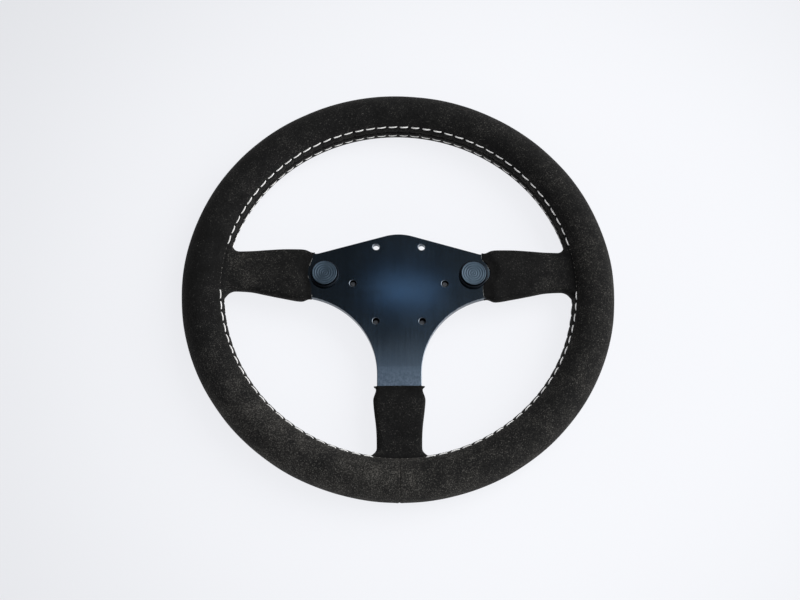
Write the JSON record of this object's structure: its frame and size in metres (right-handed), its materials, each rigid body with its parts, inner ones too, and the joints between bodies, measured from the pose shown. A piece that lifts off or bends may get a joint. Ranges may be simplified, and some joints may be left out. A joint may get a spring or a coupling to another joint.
{
  "type": "quick release steering wheel",
  "caption": "Round suede racing steering wheel with a flat black spoke plate, push buttons and a ball lock quick release coupling behind, lying face up.",
  "frame": {"origin": "on the wheel's axis, in the plane that the rim's rear touches", "axes": "+Z along the wheel's axis towards the driver, +Y towards 12 o'clock, +X to the driver's right"},
  "size_m": [0.35, 0.35, 0.035],
  "materials": {
    "black_anodised_plate": "brushed, black anodised",
    "bare_aluminium": "mill finish",
    "black_anodised_hub": "turned, black anodised",
    "collar_anodised": "turned and knurled, blue grey anodised",
    "zinc_steel": "zinc plated",
    "black_steel": "black oxide",
    "bearing_steel": "polished",
    "foam": "moulded foam",
    "suede": "napped suede, worn",
    "button_rubber": "satin, fine turned rings",
    "black_plastic": "moulded",
    "contact_brass": "tinned"
  },
  "bodies": {
    "wheel": {"spoke_plate": "black_anodised_plate", "rim_cover": "suede", "rim_core": "foam", "rim_hoop": "bare_aluminium", "hoop_rivet_bottom_left": "bare_aluminium", "hoop_rivet_bottom_right": "bare_aluminium", "hoop_rivet_left_lower": "bare_aluminium", "hoop_rivet_left_upper": "bare_aluminium", "hoop_rivet_right_lower": "bare_aluminium", "hoop_rivet_right_upper": "bare_aluminium", "spoke_sleeve_left": "suede", "spoke_sleeve_right": "suede", "spoke_sleeve_bottom": "suede", "button_bush_left": "black_plastic", "button_spring_left": "zinc_steel", "panel_nut_left": "zinc_steel", "switch_body_left": "black_plastic", "terminal_left_inner": "contact_brass", "terminal_left_outer": "contact_brass", "button_bush_right": "black_plastic", "button_spring_right": "zinc_steel", "panel_nut_right": "zinc_steel", "switch_body_right": "black_plastic", "terminal_right_inner": "contact_brass", "terminal_right_outer": "contact_brass", "hub_body": "black_anodised_hub", "collar_spring": "zinc_steel", "retaining_clip": "black_steel", "hub_screw_1": "black_steel", "hub_screw_2": "black_steel", "hub_screw_3": "black_steel", "hub_screw_4": "black_steel", "hub_washer_1": "zinc_steel", "hub_washer_2": "zinc_steel", "hub_washer_3": "zinc_steel", "hub_washer_4": "zinc_steel"},
    "collar": {"release_collar": "collar_anodised"},
    "button_left": {"button_cap_left": "button_rubber", "contact_bridge_left": "contact_brass"},
    "button_right": {"button_cap_right": "button_rubber", "contact_bridge_right": "contact_brass"},
    "ball_1": {"locking_ball_1": "bearing_steel"},
    "ball_2": {"locking_ball_2": "bearing_steel"},
    "ball_3": {"locking_ball_3": "bearing_steel"},
    "ball_4": {"locking_ball_4": "bearing_steel"},
    "ball_5": {"locking_ball_5": "bearing_steel"},
    "ball_6": {"locking_ball_6": "bearing_steel"}
  },
  "joints": [
    {"name": "collar_slide", "type": "slide", "parent": "wheel", "child": "collar", "axis": [0, 0, 1], "range_m": [0, 0.003], "stiffness_N_per_m": 1500, "springref_m": -0.003, "deforming": ["collar_spring"]},
    {"name": "button_left_press", "type": "slide", "parent": "wheel", "child": "button_left", "axis": [0, 0, -1], "range_m": [0, 0.0015], "stiffness_N_per_m": 600, "springref_m": -0.002, "deforming": ["button_spring_left"]},
    {"name": "button_right_press", "type": "slide", "parent": "wheel", "child": "button_right", "axis": [0, 0, -1], "range_m": [0, 0.0015], "stiffness_N_per_m": 600, "springref_m": -0.002, "deforming": ["button_spring_right"]},
    {"name": "ball_1_slide", "type": "slide", "parent": "wheel", "child": "ball_1", "axis": [1, 0, 0], "range_m": [0, 0.0012]},
    {"name": "ball_2_slide", "type": "slide", "parent": "wheel", "child": "ball_2", "axis": [0.5, 0.866, 0], "range_m": [0, 0.0012]},
    {"name": "ball_3_slide", "type": "slide", "parent": "wheel", "child": "ball_3", "axis": [-0.5, 0.866, 0], "range_m": [0, 0.0012]},
    {"name": "ball_4_slide", "type": "slide", "parent": "wheel", "child": "ball_4", "axis": [-1, 0, 0], "range_m": [0, 0.0012]},
    {"name": "ball_5_slide", "type": "slide", "parent": "wheel", "child": "ball_5", "axis": [-0.5, -0.866, 0], "range_m": [0, 0.0012]},
    {"name": "ball_6_slide", "type": "slide", "parent": "wheel", "child": "ball_6", "axis": [0.5, -0.866, 0], "range_m": [0, 0.0012]}
  ],
  "couplings": [
    {"joint": "ball_1_slide", "follows": "collar_slide", "ratio": 0.4},
    {"joint": "ball_2_slide", "follows": "collar_slide", "ratio": 0.4},
    {"joint": "ball_3_slide", "follows": "collar_slide", "ratio": 0.4},
    {"joint": "ball_4_slide", "follows": "collar_slide", "ratio": 0.4},
    {"joint": "ball_5_slide", "follows": "collar_slide", "ratio": 0.4},
    {"joint": "ball_6_slide", "follows": "collar_slide", "ratio": 0.4}
  ]
}
